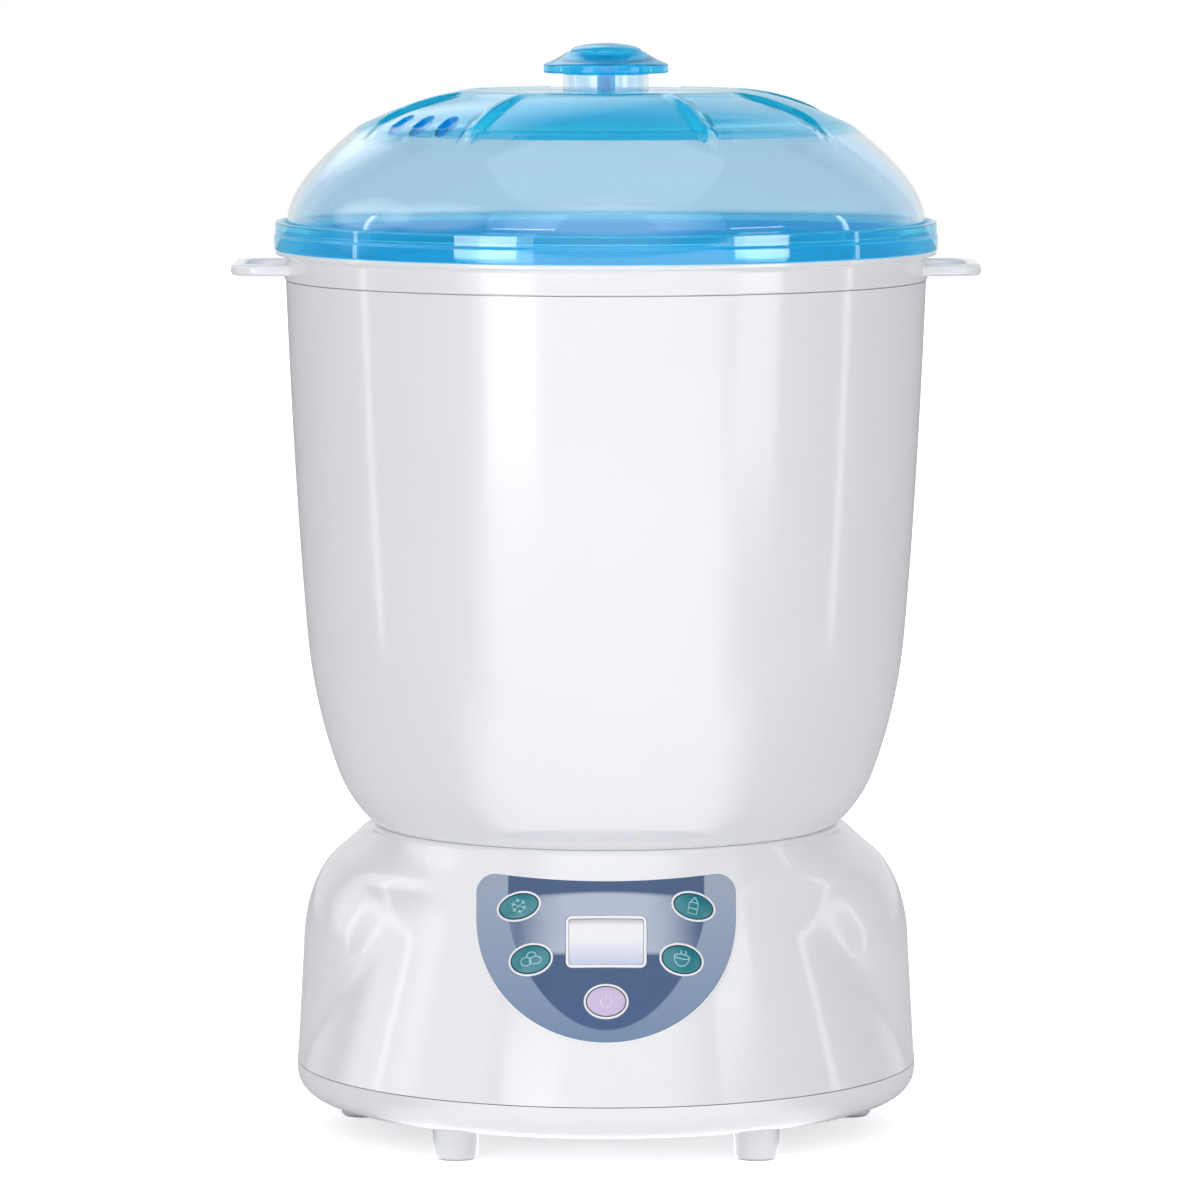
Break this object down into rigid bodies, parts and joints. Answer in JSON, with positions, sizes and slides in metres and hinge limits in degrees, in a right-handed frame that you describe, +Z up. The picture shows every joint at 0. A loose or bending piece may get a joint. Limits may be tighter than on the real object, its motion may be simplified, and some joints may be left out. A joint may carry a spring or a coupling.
{
  "type": "baby bottle sterilizer",
  "caption": "Electric steam sterilizer for feeding bottles: lobed base with heater and key panel, lift-off bowl with loop handles, rack and tray, and a clear domed lid.",
  "frame": {"origin": "on the floor under the middle of the base", "axes": "+Z up through the bowl and lid, -Y out of the control panel"},
  "size_m": [0.2614, 0.232, 0.3813],
  "materials": {
    "white_plastic": "glossy injection-moulded white",
    "clear_blue": "clear tinted blue, polished",
    "panel_blue": "printed slate blue overlay",
    "key_teal": "glossy teal",
    "key_lilac": "glossy lilac",
    "window": "clear window",
    "stainless": "stainless steel",
    "aluminium": "cast aluminium",
    "silicone": "pale silicone rubber",
    "circuit_board": "green solder mask",
    "dark_plastic": "dark moulded plastic",
    "pale_plastic": "pale moulded plastic",
    "relay_blue": "blue moulded case",
    "wire": "insulated wire"
  },
  "bodies": {
    "base": {"base_housing": "white_plastic", "bottom_cover": "white_plastic", "feet": "white_plastic", "foot_pads": "silicone", "cover_screws": "stainless", "mains_gland": "dark_plastic", "panel_plate": "panel_blue", "display_frame": "white_plastic", "display_window": "window", "control_board": "circuit_board", "key_switches": "dark_plastic", "display_module": "pale_plastic", "panel_screws": "stainless", "ribbon_cable": "wire", "heater_dish": "stainless", "dish_gasket": "silicone", "dish_bracket": "stainless", "dish_screws": "stainless", "heat_spreader": "aluminium", "heating_element": "stainless", "thermostat": "dark_plastic", "thermal_fuse": "pale_plastic", "power_board": "circuit_board", "transformer": "dark_plastic", "relay": "relay_blue", "capacitor": "dark_plastic", "terminal_block": "pale_plastic", "board_screws": "stainless", "heater_leads": "wire"},
    "bowl": {"bowl_shell": "white_plastic", "rim_collar": "white_plastic", "bowl_seal": "silicone"},
    "rack": {"bottle_rack": "white_plastic", "rack_post": "white_plastic"},
    "tray": {"accessory_tray": "clear_blue"},
    "lid": {"lid_shell": "clear_blue", "lid_knob": "clear_blue", "knob_screw": "stainless"},
    "upper_left_button": {"key_upper_left": "key_teal"},
    "upper_right_button": {"key_upper_right": "key_teal"},
    "lower_left_button": {"key_lower_left": "key_teal"},
    "lower_right_button": {"key_lower_right": "key_teal"},
    "power_button": {"power_key": "key_lilac"}
  },
  "joints": [
    {"name": "bowl_lift", "type": "slide", "parent": "base", "child": "bowl", "axis": [0, 0, 1], "range_m": [0, 0.2]},
    {"name": "lid_lift", "type": "slide", "parent": "bowl", "child": "lid", "axis": [0, 0, 1], "range_m": [0, 0.5]},
    {"name": "tray_lift", "type": "slide", "parent": "bowl", "child": "tray", "axis": [0, 0, 1], "range_m": [0, 0.325]},
    {"name": "rack_lift", "type": "slide", "parent": "bowl", "child": "rack", "axis": [0, 0, 1], "range_m": [0, 0.2]},
    {"name": "upper_left_press", "type": "slide", "parent": "base", "child": "upper_left_button", "axis": [0, 0.9537, -0.3009], "range_m": [0, 0.0008], "stiffness_N_per_m": 400, "springref_m": -0.0005},
    {"name": "upper_right_press", "type": "slide", "parent": "base", "child": "upper_right_button", "axis": [0, 0.9537, -0.3009], "range_m": [0, 0.0008], "stiffness_N_per_m": 400, "springref_m": -0.0005},
    {"name": "lower_left_press", "type": "slide", "parent": "base", "child": "lower_left_button", "axis": [0, 0.9537, -0.3009], "range_m": [0, 0.0008], "stiffness_N_per_m": 400, "springref_m": -0.0005},
    {"name": "lower_right_press", "type": "slide", "parent": "base", "child": "lower_right_button", "axis": [0, 0.9537, -0.3009], "range_m": [0, 0.0008], "stiffness_N_per_m": 400, "springref_m": -0.0005},
    {"name": "power_press", "type": "slide", "parent": "base", "child": "power_button", "axis": [0, 0.9537, -0.3009], "range_m": [0, 0.0008], "stiffness_N_per_m": 400, "springref_m": -0.0005}
  ],
  "couplings": [
    {"joint": "tray_lift", "follows": "lid_lift", "ratio": 0.65},
    {"joint": "rack_lift", "follows": "lid_lift", "ratio": 0.4}
  ]
}
